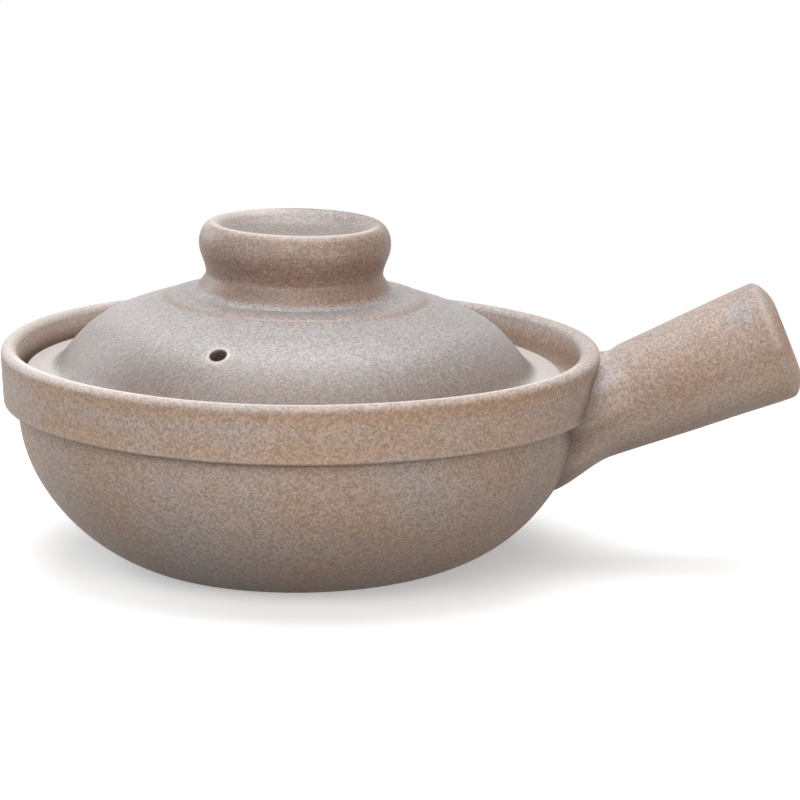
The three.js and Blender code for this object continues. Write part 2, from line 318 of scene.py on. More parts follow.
bowl = {
    "height": 69.0, "rim": 95.0, "lip": 4.9, "lipRound": 2.4,
    "collar": 94.0, "collarFoot": 51.0, "collarRound": 1.3, "fold": 49.7, "foldRound": 0.8,
    "belly": 89.5, "bellyHeight": 51.0, "sweep": 57.5, "base": 48.9, "baseRound": 1.8,
    "cove": 88.3, "coveRound": 3.0, "ledge": 54.3, "ledgeEdge": 80.8, "ledgeRound": 1.2,
    "wall": 7.5, "floor": 6.0,
    "step": 1.25, "turns": 300,
    # pale tints are painted highlights and dark tints painted shade
    # tints, each with its strength, by radius: the middle and half width of a band
    "paleCrest": (1.1, 92.1, 0.8), "paleLip": (0.5, 92.3, 2.4),
    # by height: the middle and half width of a band, or the start and end of a ramp
    "paleInnerLip": (0.30, 66.0, 2.2), "paleCove": (0.32, 56.2, 2.4),
    "warmUnderLip": (0.75, 65.3, 2.2), "warmLowCollar": (0.45, 54.5, 4.0),
    "coolTopOfRim": (0.8, 62, 66), "darkUnderCollar": (0.30, 50.1, 0.7),
    "darkUnderLip": (0.14, 66.8, 1.5), "darkInnerRim": (0.75, 60.0, 3.2),
    "lighterByHandle": 2 / 3,
    # by the distance from a line or edge
    "paleCorner": (0.25, 0.0, 0.6), "corner": (94.2, 51.4),
    "darkRoot": (0.60, 0.0, 4.0), "darkAroundRoot": (0.12, 0.0, 16.0),
}


def sweep(height, half, low):
    # the wall's quarter ellipse, half axes half and height, from its widest circle down to low
    centre = bowl["belly"] - bowl["sweep"]
    last = math.asin((bowl["bellyHeight"] - low) / height)
    angle = np.linspace(0, last, 26)
    return np.stack([centre + half * np.cos(angle),
                     bowl["bellyHeight"] - height * np.sin(angle)], 1)


def bowlOutline():
    # from the axis under the base, up the outside, over the lip and down the inside
    reach = (bowl["base"] - bowl["belly"] + bowl["sweep"]) / bowl["sweep"]
    outside = sweep(bowl["bellyHeight"] / math.sqrt(1 - reach ** 2), bowl["sweep"], 0.0)[::-1]
    inside = sweep(bowl["bellyHeight"] - bowl["floor"], bowl["sweep"] - bowl["wall"],
                   bowl["floor"])
    inner = bowl["rim"] - bowl["lip"]
    return roundedOutline([
        (0, 0), (bowl["base"], 0, bowl["baseRound"]),
        *outside[1:-1],
        (bowl["belly"], bowl["fold"], bowl["foldRound"]),
        (bowl["collar"], bowl["collarFoot"], bowl["collarRound"]),
        (bowl["rim"], bowl["height"], bowl["lipRound"]),
        (inner, bowl["height"], bowl["lipRound"]),
        (bowl["cove"], bowl["ledge"], bowl["coveRound"]),
        (bowl["ledgeEdge"], bowl["ledge"], bowl["ledgeRound"]),
        *inside,
        (0, bowl["floor"]),
    ], bowl["step"])


def thrown(points, height):
    # a hand-thrown pot isn't quite round or level: each point moves out and up by a few tenths
    # of a millimetre, by slow waves of its angle that fade towards the base
    x, y, z = points[..., 0], points[..., 1], points[..., 2]
    angle = np.arctan2(y, x)
    radius = np.hypot(x, y)
    rise = smoothStep(z, 0.0, height)
    out = 1 + (0.22 * np.cos(2 * angle - 0.7) + 0.14 * np.cos(3 * angle + 1.1)) * rise / bowl["rim"]
    lift = rise * (0.16 * np.cos(2 * angle + 0.4) + 0.10 * np.cos(5 * angle - 0.8))
    # the lower wall is half a percent slimmer; the foot stands off centre, away from the handle,
    # and the rim a quarter of a millimetre towards it
    out = out - band(z, 0.006, 16, 13) * smoothStep(radius, 40, 60)
    offCentre = band(z, 0.1, 12, 12) - 2.2 * np.exp(-z / 3)
    shift = offCentre * smoothStep(radius, 0, 30) + 0.25 * rise
    # towards the handle the lip is a little broader, pressed in when the handle was luted on
    pressed = bell(angle, 0, 0.42) * smoothStep(z, 60, 67) * (1 - smoothStep(radius, 91, 94.6))
    shift = shift - 1.3 * pressed
    return np.stack([x * out + shift, y * out, z + lift], -1)


def buildBowl():
    outline = bowlOutline()
    grid = thrown(revolve(outline, bowl["turns"]), bowl["height"])
    shape = grid.shape[:2]
    radius = np.broadcast_to(outline[:, :1], shape)
    height = np.broadcast_to(outline[:, 1:], shape)
    angle = np.arctan2(grid[..., 1], grid[..., 0])
    outside = (np.arange(len(outline)) < np.argmax(outline[:, 1]))[:, None] & (radius > 60)
    innerRim = (radius < 91) & (height > 54) & (radius > 80)
    front = 0.5 - 0.5 * np.sin(angle + 0.05)
    left = smoothStep(-np.cos(angle), 0, 1)
    handleSide = smoothStep(np.cos(angle), 0.2, 0.9)

    # painted highlights: the lip's crest in front, the whole lip on the left, the collar's lower
    # corner, the inner lip's round on the left, and the inner cove on the handle's side
    corner = np.hypot(radius - bowl["corner"][0], height - bowl["corner"][1])
    edge = band(radius, *bowl["paleCrest"]) * (height > 67.5) * smoothStep(-np.sin(angle), 0.1, 0.6)
    edge = edge + band(radius, *bowl["paleLip"]) * (height > 67) * left
    edge = edge + band(corner, *bowl["paleCorner"])
    innerLip = (radius < 91.5) * smoothStep(-np.cos(angle), 0, 0.7)
    edge = edge + innerLip * band(height, *bowl["paleInnerLip"])
    edge = edge + innerRim * band(height, *bowl["paleCove"]) * handleSide

    # warmer: two bands on the front of the collar, and the inner rim but for its top, where the
    # warmer, darker brown is partly painted shade
    toast = 0.05 + outside * (band(height, *bowl["warmUnderLip"]) * front
                              + band(height, *bowl["warmLowCollar"]) * front ** 2)
    toast = toast + innerRim * (bowl["coolTopOfRim"][0] - ramp(height, *bowl["coolTopOfRim"]))

    # painted shade: a shadow line under the collar and under the lip in front, round the handle's
    # root, and behind the lid's flange
    paintedShade = outside * (band(height, *bowl["darkUnderCollar"])
                        + band(height, *bowl["darkUnderLip"]) * front * (radius > 92))
    above = height - handle["rootCentre"]
    aroundRoot = np.degrees(np.arctan2(np.abs(grid[..., 1]), above))
    root = np.interp(aroundRoot, list(handle["smear"]), list(handle["smear"].values()))
    fromRoot = np.hypot(grid[..., 1], above) - root
    valley = band(fromRoot, *bowl["darkRoot"]) + band(fromRoot, *bowl["darkAroundRoot"])
    paintedShade = paintedShade + outside * valley * (grid[..., 0] > 0) * (1 - smoothStep(height, 63, 68))
    behind = band(height, *bowl["darkInnerRim"]) * (1 - bowl["lighterByHandle"] * handleSide)
    paintedShade = paintedShade + innerRim * behind
    makePiece("bowl", grid.reshape(-1, 3), gridFaces(*shape),
              {"toast": toast, "edge": edge, "sheenAndSmudge": np.zeros(shape), "paintedShade": paintedShade},
              potClay, "pot", "pot_bowl")


# Handle

handle = {
    "tilt": 23.03, "rise": 49.65,
    # radius by the distance along the handle, and the rounded end as (distance, radius)
    "radius": {0: 15.8, 21: 17.1, 35: 18.05, 49: 18.9, 54: 19.15, 58: 19.3}, "taperEnd": 58.0,
    "end": [(57.0, 19.25), (58.0, 19.3), (60.2, 19.05), (61.3, 18.1), (62.3, 16.7), (63.15, 15.0),
            (63.8, 13.2), (64.15, 11.5)],
    "mouth": 10.8, "mouthLevel": 64.2,
    "bore": 9.5, "boreRound": 1.7, "boreFloor": 31.4, "boreTaper": 1.0, "floorRound": 3.0,
    "rootCentre": 47.0, "sunk": 2.6, "capDepth": 2.0,
    # by the angle round the handle from its top: how far the clay is smeared out on the bowl, how
    # steeply it leaves the wall, how far the curve holds its two directions, and where it ends
    "smear": {0: 21.6, 12: 21.3, 28: 21.0, 45: 23.2, 56: 25.2, 66: 25.6, 74: 28.6, 81: 31.0,
              88: 28.0, 97: 23.5, 110: 22.6, 122: 25.0, 135: 25.0, 180: 23.6},
    "lift": {0: 60, 12: 56, 30: 62, 60: 62, 80: 56, 97: 62, 110: 58, 135: 40, 180: 26},
    "reachOut": {0: 0.55, 20: 0.5, 40: 0.40, 90: 0.38, 180: 0.33},
    "reachIn": {0: 0.10, 20: 0.20, 40: 0.34, 90: 0.36, 180: 0.36},
    "blendEnd": {0: 13, 34: 15, 90: 14, 135: 5, 180: -3},
    "turns": 192,
    # pale tints are painted highlight and bounce light, and dark tints painted shade
    # tints, each with its strength: at the root by the distance from the wall, on the underside
    # by how far it faces down, and the others by the distance along the handle
    "darkRoot": (0.60, 0.0, 3.8), "paleUnderside": (0.18, 0.0, 0.6),
    "darkLength": (0.17, 4, 16), "darkEnd": (0.06, 50, 60), "paleEnd": (0.25, 61.0, 1.2),
    # middle and half width of a smudge, along the handle and in degrees round it
    "smudgeAlong": (53, 4), "smudgeAngle": (322, 13.75),
}


def aroundHandle(table, angle):
    # a value given at some angles from the top, the same on both sides, as a smooth ring
    degrees = np.degrees(np.abs((angle + math.pi) % (2 * math.pi) - math.pi))
    ring = np.interp(degrees, list(table), list(table.values()))
    kernel = np.exp(-np.linspace(-2, 2, 9) ** 2)
    padded = np.concatenate([ring[-4:], ring, ring[:4]])
    return np.convolve(padded, kernel / kernel.sum(), "valid")


def outerRadius(height):
    # radius of the bowl's outside at a height, from its outline
    outline = bowlOutline()
    outside = outline[:np.argmax(outline[:, 1]) + 1]
    outside = outside[outside[:, 0] > 1]
    heights = np.maximum.accumulate(outside[:, 1] + 1e-6 * np.arange(len(outside)))
    return np.interp(height, heights, outside[:, 0])


def onWall(reach, angle):
    # the point of the bowl's outside that lies at reach and angle from the handle's middle
    y = reach * np.sin(angle)
    z = handle["rootCentre"] + reach * np.cos(angle)
    # inside the collar its underside is drawn out into a slope, so that the smear runs smoothly
    # over the step
    slope = bowl["belly"] + (bowl["collar"] - bowl["belly"]) * smoothStep(z, 48.5, 59)
    radius = np.minimum(outerRadius(z), np.where(z > 48.5, slope, bowl["rim"]))
    return np.stack([np.sqrt(radius ** 2 - y ** 2), y, z], -1)


def unit(vectors):
    return vectors / np.linalg.norm(vectors, axis=-1, keepdims=True)


def buildHandle():
    # Each angle round the handle has one line along it: a cubic curve from the smear on the
    # wall to the taper, the taper, a rounded edge over a slightly crowned end, and the bore.
    angle = np.linspace(0, 2 * math.pi, handle["turns"], endpoint=False)
    tilt = math.radians(handle["tilt"])
    axis = np.array([math.cos(tilt), 0, math.sin(tilt)])
    up = np.array([-math.sin(tilt), 0, math.cos(tilt)])
    origin = np.array([bowl["rim"], 0, handle["rise"]])
    out = np.cos(angle)[:, None] * up + np.sin(angle)[:, None] * np.array([0, 1, 0])

    def side(along):
        # the point at each angle's own place along the handle
        radius = np.interp(along, list(handle["radius"]), list(handle["radius"].values()))
        radius = radius + np.minimum(along, 0) * 0.06
        return origin + along[..., None] * axis + radius[..., None] * out

    reach = aroundHandle(handle["smear"], angle)
    foot = onWall(reach, angle)
    inward = unit(onWall(reach - 0.5, angle) - foot)
    sideways = unit(np.roll(foot, -1, 0) - np.roll(foot, 1, 0))
    normal = unit(np.cross(inward, sideways))
    normal = normal * np.sign(normal[:, :1])
    lift = np.radians(aroundHandle(handle["lift"], angle))[:, None]
    leave = np.cos(lift) * inward + np.sin(lift) * normal
    start = aroundHandle(handle["blendEnd"], angle)
    taper = side(start)
    onward = unit(side(start + 1.0) - taper)
    span = np.linalg.norm(taper - foot, axis=1, keepdims=True)
    push = aroundHandle(handle["reachOut"], angle)[:, None]
    pull = aroundHandle(handle["reachIn"], angle)[:, None]
    blend = bezier(foot - 0.15 * normal, foot + push * span * leave,
                   taper - pull * span * onward, taper, 34)
    share = np.linspace(0, 1, 40)[1:, None]
    body = side(start + share * (handle["taperEnd"] - start))

    edge = curveThrough([*handle["end"], (handle["mouthLevel"], handle["mouth"])], 0.8)
    bore = roundedOutline([
        (handle["mouth"], handle["mouthLevel"]),
        (handle["bore"], handle["mouthLevel"] - 0.1, handle["boreRound"]),
        (handle["bore"] - handle["boreTaper"], handle["boreFloor"], handle["floorRound"]),
        (0, handle["boreFloor"]),
    ], 1.6)
    ends = np.concatenate([edge[edge[:, 0] > handle["taperEnd"] + 0.2], bore[1:, ::-1]])
    endRings = origin + ends[:, 0, None, None] * axis + ends[:, 1, None, None] * out
    # in the wall the piece ends in a cap that follows the wall, so that it stays hidden inside
    cap = onWall(np.linspace(0, 0.88, 9)[:, None] * reach, angle)
    around = np.hypot(cap[..., :1], cap[..., 1:2])
    cap[..., :2] *= 1 - handle["capDepth"] / around
    sunk = foot - handle["sunk"] * normal
    rows = np.concatenate([cap, sunk[None], blend, body, endRings])

    # hand-made: the outside has slow hollows and swellings of a tenth of a millimetre
    distance = (rows - origin) @ axis
    swell = 0.08 * np.sin(distance / 9.5 + 2 * angle) + 0.06 * np.sin(distance / 6.1 - angle + 1)
    fade = smoothStep(distance, 10, 24) * (1 - smoothStep(distance, 52, 58))
    fade[-len(ends):] = 0
    rows = rows + (swell * fade)[..., None] * out

    offWall = np.hypot(rows[..., 0], rows[..., 1]) - outerRadius(rows[..., 2])
    onTop = smoothStep(np.cos(angle), 0.2, 1.0)
    # painted shade: in the valley at the root, along the underside and sides, and towards the end
    paintedShade = band(offWall, *handle["darkRoot"]) * (1 - smoothStep(rows[..., 2], 63, 67.5))
    paintedShade = paintedShade + ramp(distance, *handle["darkLength"]) * smoothStep(np.cos(angle), -0.5, 0.1)
    paintedShade = paintedShade + ramp(distance, *handle["darkEnd"])
    toast = 0.38 - 0.36 * onTop * np.ones_like(distance)
    # a grey smudge near the end, and a painted grey sheen on top of the root, less grey further along
    smudge = bell(distance, *handle["smudgeAlong"]) * bell(angle, *np.radians(handle["smudgeAngle"]))
    rootSheen = 0.4 * onTop * (1 - smoothStep(distance, 4, 14)) - ramp(distance, 0.3, 4, 20)
    # painted highlight on the top of the end's rounded edge, and painted bounce light underneath
    paintedHighlight = band(distance, *handle["paleEnd"]) * (np.cos(angle) > 0)
    paintedHighlight = paintedHighlight + ramp(-np.cos(angle), *handle["paleUnderside"])
    # the smudge is the clay's own mark; it also darkens a little through the painted shade
    makePiece("handle_horn", rows.reshape(-1, 3), gridFaces(*rows.shape[:2]),
              {"toast": toast - 0.4 * smudge, "edge": paintedHighlight, "sheenAndSmudge": smudge + rootSheen,
               "paintedShade": paintedShade + 0.12 * smudge},
              potClay, "pot", "handle")


buildBowl()
buildHandle()


# Lid: heights are measured up from the underside of its flange

lid = {
    "place": (-1.8, 0.0, 54.6),
    "flange": 85.3, "flangeThick": 6.1, "flangeRound": 1.4, "fold": 75.8, "foldHeight": 7.2,
    "foldRound": 5.0, "crown": 138.0, "crownHeight": 35.7, "step": 41.7, "stepHeight": 0.3,
    "shoulder": 0.66, "fullness": 0.95, "thick": 5.2, "innerRound": 1.5, "stepWidth": 1.1,
    "closeRows": 2.4, "underKnob": 38.0,
    "sink": 1.1,              # how far the crown has sunk inside the step, by this slope
    "sinkSlope": (32.0, 39.7),
    "ventRadius": 61.9, "ventAngle": 251.2, "ventHole": 2.5, "ventRound": 0.5,
    "ventReach": 9,           # how many rows of the grid are drawn out round the steam hole
    "lean": 0.55,             # degrees that the lid leans over, lower towards the handle
    "pivot": 4.2,             # the height at which the lean doesn't shift it sideways
    "rows": 1.2, "turns": 300,
    # pale tints are painted highlights, dark tints painted shade, grey tints a painted sheen
    # tints, each with its strength, by radius: the middle and half width of a band
    "warmStep": (0.9, 40.9, 0.9), "darkStep": (0.25, 41.6, 0.6), "noSheenStep": (1.0, 40.7, 2.2),
    "paleDome": (0.12, 54.0, 9.0), "darkFoot": (0.10, 73.4, 2.6),
    # by radius: the start and end of a ramp
    "warmFoot": (0.4, 62, 74), "sheenDome": (0.40, 58, 72), "sheenFlange": (0.8, 74.8, 77.8),
    "paleFlange": (0.62, 75.2, 78.2), "darkLowDome": (56, 71), "darkLowDomeEnd": (72.8, 75.8),
    "flangeTop": (4.6, 6.0),  # by height
    # by the distance from the flange's corner and from the steam hole's edge
    "paleFlangeEdge": (0.15, 0.0, 0.8), "flangeCorner": 84.9, "paleVent": (0.8, 0.2, 0.6),
}


def crownAt(radius):
    # the crown is a shallow cap of a sphere
    return (lid["crownHeight"] - lid["crown"] + np.sqrt(lid["crown"] ** 2 - radius ** 2))


def domeCurve(inset=0.0):
    # from the fold up to the step: a cubic curve that bulges to its shoulder, or its parallel
    fold = np.array([lid["fold"], lid["foldHeight"]])
    edge = np.array([lid["step"], crownAt(lid["step"])])
    slope = lid["step"] / math.sqrt(lid["crown"] ** 2 - lid["step"] ** 2)
    run = (lid["fold"] - lid["step"]) * lid["shoulder"]
    shoulder = edge + np.array([run, -run * slope])
    full = lid["fullness"]
    curve = bezier(fold, fold + full * (shoulder - fold), edge + full * (shoulder - edge), edge, 40)
    along = unit(np.gradient(curve, axis=0))
    return curve - inset * np.stack([along[:, 1], -along[:, 0]], 1)


def lidOutline():
    # from the axis under the crown out to the flange, round its edge and back over the dome
    under = domeCurve(lid["thick"])[::-1]
    radius = np.linspace(0, under[0, 0], 12)[:-1]
    skirt = under[-1] - under[-2]
    foot = under[-1] - skirt * under[-1, 1] / skirt[1]
    # on the crown the rows lie close together over the step and further apart under the knob
    near = np.linspace(lid["step"], lid["step"] - lid["closeRows"], 9)
    over = np.append(near, np.linspace(lid["underKnob"], 0, 36))[1:]
    rise = lid["stepHeight"] * (1 - smoothStep(over, lid["step"] - lid["stepWidth"], lid["step"]))
    rise = rise - lid["sink"] * (1 - smoothStep(over, *lid["sinkSlope"]))
    return roundedOutline([
        *np.stack([radius, crownAt(radius) - lid["thick"]], 1),
        *under[:-1],
        (*foot, lid["innerRound"]),
        (lid["flange"], 0, lid["flangeRound"]),
        (lid["flange"], lid["flangeThick"], lid["flangeRound"]),
        (lid["fold"], lid["foldHeight"], lid["foldRound"]),
        *domeCurve()[6:],
        *np.stack([over, crownAt(over) + rise], 1),
    ], lid["rows"])


def setLid(points):
    # leans everything above the flange's underside over a little, and sets the lid on its ledge
    x, y, z = points[..., 0], points[..., 1], points[..., 2]
    angle = np.arctan2(y, x)
    above = smoothStep(z, 0.5, lid["flangeThick"] - 0.5)
    slope = math.tan(math.radians(lid["lean"]))
    # besides the lean, the lid is warped by a tenth of a millimetre
    drop = slope * x + 0.10 * np.cos(2 * angle + 1.3)
    shift = slope * (z - lid["pivot"])
    moved = np.stack([x + above * shift, y, z - above * drop], -1)
    return moved + np.array(lid["place"])


def squareToCircle(size):
    # for a square block of grid points: which ring each is on, and the direction in which
    # that ring's points are spaced evenly round a circle
    across, down = np.meshgrid(np.arange(-size, size + 1), np.arange(-size, size + 1))
    ring = np.maximum(np.abs(across), np.abs(down))
    steps = np.where(ring == 0, 1, ring)
    right, top = across / steps, down / steps
    turn = np.where(np.abs(right) >= np.abs(top),
                    np.where(right > 0, top, 4 - top), np.where(top > 0, 2 - right, 6 + right))
    return ring, turn * math.pi / 4


def pierce(grid, faces, rowAt, columnAt, hole, reach):
    # Opens a round hole in a revolved skin: the square of grid points round (row, column) is
    # drawn out into circles, the points inside the hole lose their faces, and the rest of the
    # square fades back to the plain grid. Gives the hole's edge as indices in turning order.
    turns = grid.shape[1]
    ring, turn = squareToCircle(reach)
    inner = 4
    rows = rowAt + np.arange(-reach, reach + 1)
    columns = (columnAt + np.arange(-reach, reach + 1)) % turns
    block = grid[np.ix_(rows, columns)]
    centre = block[reach, reach].copy()
    downwards = unit(block[reach + 1, reach] - block[reach - 1, reach])
    sideways = unit(block[reach, reach + 1] - block[reach, reach - 1])
    flat = np.stack([(block - centre) @ sideways, (block - centre) @ downwards], -1)
    bulge = (block - centre) - flat[..., :1] * sideways - flat[..., 1:] * downwards
    edge = np.abs(flat[0, reach, 1])
    share = np.clip((ring - inner) / (reach - inner), 0, 1)[..., None]
    distance = hole + (edge - hole) * share
    circle = distance * np.stack([np.cos(turn), np.sin(turn)], -1)
    moved = circle * (1 - share ** 1.5) + flat * share ** 1.5
    depth = (bulge @ unit(np.cross(sideways, downwards)))[..., None]
    scale = (moved ** 2).sum(-1, keepdims=True) / np.maximum((flat ** 2).sum(-1, keepdims=True), 0.01)
    depth = depth * np.where(ring[..., None] <= inner, 1, scale)
    block = (centre + moved[..., :1] * sideways + moved[..., 1:] * downwards
             + depth * unit(np.cross(sideways, downwards)))
    grid[np.ix_(rows, columns)] = block
    index = rows[:, None] * turns + columns[None]
    inside = set(index[ring <= inner].ravel().tolist())
    keep = ~np.all(np.isin(faces, list(inside)), axis=1)
    border = index[ring == inner]
    order = np.argsort(turn[ring == inner])
    return faces[keep], border[order], centre, sideways, downwards


def buildLid():
    outline = lidOutline()
    grid = revolve(outline, lid["turns"])
    shape = grid.shape[:2]
    faces = gridFaces(*shape)
    top = np.arange(len(outline)) > np.argmax(outline[:, 0])
    column = int(round(lid["ventAngle"] / 360 * lid["turns"]))
    outer = np.argmin(np.where(top, np.abs(outline[:, 0] - lid["ventRadius"]), 99))
    normal = outline[outer + 1] - outline[outer - 1]
    normal = np.array([normal[1], -normal[0]]) / np.linalg.norm(normal)
    below = outline[outer] - lid["thick"] * normal
    gap = np.linalg.norm(outline - below, axis=1)
    under = np.argmin(np.where(top, 99, gap))
    rim = lid["ventHole"] + lid["ventRound"]
    reach = lid["ventReach"]
    faces, upperEdge, centre, across, down = pierce(grid, faces, outer, column, rim, reach)
    faces, lowerEdge, lowCentre = pierce(grid, faces, under, column, rim, reach)[:3]

    # the wall of the hole runs from the upper edge, over a small round, to the lower edge
    flat = grid.reshape(-1, 3)
    inwards = unit(lowCentre - centre)
    upper = flat[upperEdge]
    turn = np.arctan2((upper - centre) @ down, (upper - centre) @ across)
    spoke = np.cos(turn)[:, None] * across + np.sin(turn)[:, None] * down
    lower = flat[lowerEdge]
    # both edges start at the same spoke and run the same way round
    match = int(np.argmin(np.linalg.norm(lower - (upper[0] + inwards * lid["thick"]), axis=1)))
    ahead = lower[(match + 1) % len(lower)] - lower[match]
    forward = 1 if ahead @ (upper[1] - upper[0]) > 0 else -1
    lowerEdge = np.roll(lowerEdge[::forward], -(match if forward > 0 else len(lower) - 1 - match))
    length = np.linalg.norm(lowCentre - centre)
    bend = np.linspace(0, math.pi / 2, 6)[1:]
    away = np.concatenate([rim - lid["ventRound"] * np.sin(bend), [lid["ventHole"]] * 3,
                           rim - lid["ventRound"] * np.sin(bend)[::-1]])
    deep = np.concatenate([lid["ventRound"] * (1 - np.cos(bend)),
                           np.linspace(0.2, 0.8, 3) * length,
                           length - lid["ventRound"] * (1 - np.cos(bend))[::-1]])
    wall = centre + deep[:, None, None] * inwards + away[:, None, None] * spoke
    count = len(upperEdge)
    wallIndex = len(flat) + np.arange(wall.shape[0] * count).reshape(-1, count)
    loops = np.concatenate([upperEdge[None], wallIndex, lowerEdge[None]])
    nearby = np.roll(loops, -1, 1)
    tube = np.stack([loops[:-1], nearby[:-1], nearby[1:], loops[1:]], -1).reshape(-1, 4)
    points = np.concatenate([flat, wall.reshape(-1, 3)])

    radius = np.broadcast_to(outline[:, :1], shape)
    height = np.broadcast_to(outline[:, 1:], shape)
    onTop = top[:, None]
    flangeEdge = np.hypot(radius - lid["flangeCorner"], height - lid["flangeThick"])
    fromVent = np.linalg.norm(grid - centre, axis=-1) - rim
    leftwards = -grid[..., 0]
    toast = 0.1 + onTop * (band(radius, *lid["warmStep"]) + ramp(radius, *lid["warmFoot"]))
    # painted highlights on the flange's corner and the steam hole's edge
    edge = band(flangeEdge, *lid["paleFlangeEdge"]) + band(fromVent, *lid["paleVent"])
    # the flange's top paler, partly the clay's own paler edge and partly painted highlight
    edge = edge + onTop * ramp(radius, *lid["paleFlange"]) * smoothStep(height, *lid["flangeTop"])
    # painted highlight on the dome's left
    edge = edge + onTop * band(radius, *lid["paleDome"]) * smoothStep(leftwards, 0, 48)
    # painted grey sheen on the dome's top and on the flange, none at the step
    sheenAndSmudge = (lid["sheenDome"][0] - ramp(radius, *lid["sheenDome"])) * (1 - band(radius, *lid["noSheenStep"]))
    sheenAndSmudge = (sheenAndSmudge + ramp(radius, *lid["sheenFlange"])) * onTop
    lowDome = smoothStep(radius, *lid["darkLowDome"]) * (1 - smoothStep(radius, *lid["darkLowDomeEnd"]))
    # painted shade at the dome's foot, under the step and over the low dome, most on the left
    paintedShade = onTop * (band(radius, *lid["darkFoot"]) + band(radius, *lid["darkStep"])
                      + (0.34 + ramp(leftwards, 0.20, 21, 63)) * lowDome)
    # inside the steam hole: warmer clay and painted shade
    extra = np.zeros(wall.shape[0] * count)
    makePiece("lid_dome", setLid(points), np.concatenate([faces, tube]),
              {"toast": np.append(toast, extra + 0.3), "edge": np.append(edge, extra),
               "sheenAndSmudge": np.append(sheenAndSmudge, extra), "paintedShade": np.append(paintedShade, extra + 0.6)},
              lidClay, "lid", "lid_shell")


buildLid()


# Knob

knob = {
    "offset": -0.5,          # its middle lies a little further from the handle than the lid's
    "flare": [(38.4, 28.7), (36.0, 29.5), (33.9, 30.5), (32.1, 31.8), (30.6, 33.2), (29.2, 35.0)],
    "side": [(28.1, 37.0), (28.35, 39.4), (29.2, 42.0), (30.0, 44.3), (30.3, 46.5), (30.2, 48.4),
             (29.75, 50.2)],
    "lip": [(28.9, 51.8), (28.1, 52.7), (27.1, 53.35), (25.9, 53.45), (24.7, 53.0), (23.7, 52.2)],
    "cup": [(22.4, 50.9), (20.7, 49.8), (18.4, 48.9), (15.0, 48.3), (8.0, 48.0), (0.0, 48.0)],
    "step": 0.9, "turns": 260,
    "sunk": 0.3,             # how deep its seat lies in the lid
    # pale tints are painted highlights and dark tints painted shade
    # tints, each with its strength, by radius or by height: the middle and half width of a band
    "paleCrest": (0.9, 26.2, 1.1), "paleLip": (0.6, 26.0, 2.6),
    "warmSide": (0.5, 38, 10), "warmWaist": (0.5, 34.0, 2.2),
    "darkWaist": (0.16, 36, 3), "darkFoot": (0.18, 32.3, 1.5),
    # by radius: the start and end of a ramp
    "warmLip": (0.5, 26.6, 27.6), "dish": (20.0, 25.5), "darkDish": 0.38,
    # the heights from which up lie crest, lip and dish, and the radius from which out lies the side
    "crestFrom": 52, "lipFrom": 50, "dishFrom": 44, "sideFrom": 25,
    # the side's lower end, which is this much higher on the left and right, and its soft edge
    "sideFoot": 31.0, "footRise": 1.4, "footBlend": 2.2,
}


def buildKnob():
    seat = np.linspace(0, knob["flare"][0][0], 20)[:-1]
    level = crownAt(seat) - lid["sink"] - knob["sunk"]
    curve = curveThrough(knob["flare"] + knob["side"] + knob["lip"] + knob["cup"], knob["step"])
    outline = np.concatenate([np.stack([seat, level], 1), curve])
    grid = revolve(outline, knob["turns"])
    shape = grid.shape[:2]
    angle = np.arctan2(grid[..., 1], grid[..., 0])
    radius = np.broadcast_to(outline[:, :1], shape)
    height = np.broadcast_to(outline[:, 1:], shape)
    out = 1 + 0.004 * np.cos(2 * angle + 0.5) * smoothStep(height, 36, 50)
    grid = grid * np.stack([out, out, np.ones(shape)], -1)
    grid[..., 0] += knob["offset"]
    # its foot was smoothed down a little further on the side towards the handle
    grid[..., 2] -= 0.02 * np.maximum(grid[..., 0], 0) * bell(height, 31.5, 2.0)
    front = smoothStep(-np.sin(angle), -0.1, 0.6)
    left = smoothStep(-np.cos(angle), -0.2, 0.6)
    # painted highlights: the lip's crest in front, and the lip on the left and back
    edge = band(radius, *knob["paleCrest"]) * (height > knob["crestFrom"]) * front
    lip = (height > knob["lipFrom"]) * left * (1 - front)
    edge = edge + band(radius, *knob["paleLip"]) * lip
    foot = knob["sideFoot"] + knob["footRise"] * np.cos(angle) ** 2
    outside = radius > knob["sideFrom"]
    side = outside * smoothStep(height, foot, foot + knob["footBlend"])
    dish = (1 - smoothStep(radius, *knob["dish"])) * (height > knob["dishFrom"])
    # the side is warmer and darker brown, partly painted shade
    toast = 0.1 + side * (0.4 + band(height, *knob["warmSide"]))
    # painted grey sheen on the flare under the side, held back at the waist and on the lip's front
    sheenAndSmudge = 0.35 * (1 - side) * outside - band(height, *knob["warmWaist"]) * side
    sheenAndSmudge = sheenAndSmudge - ramp(radius, *knob["warmLip"]) * side * front
    # painted shade on the side, most at the waist and on the left, at the foot, and in the cup's dish
    paintedShade = side * (band(height, *knob["darkWaist"]) + 0.18 + 0.10 * left)
    paintedShade = paintedShade * (height < knob["crestFrom"])
    paintedShade = paintedShade + band(height, *knob["darkFoot"]) * side + knob["darkDish"] * dish
    makePiece("ring_knob", setLid(grid).reshape(-1, 3), gridFaces(*shape),
              {"toast": toast, "edge": edge, "sheenAndSmudge": sheenAndSmudge, "paintedShade": paintedShade},
              lidClay, "lid", "lid_knob")


buildKnob()
print("all four pieces made")


# Floor, light and camera

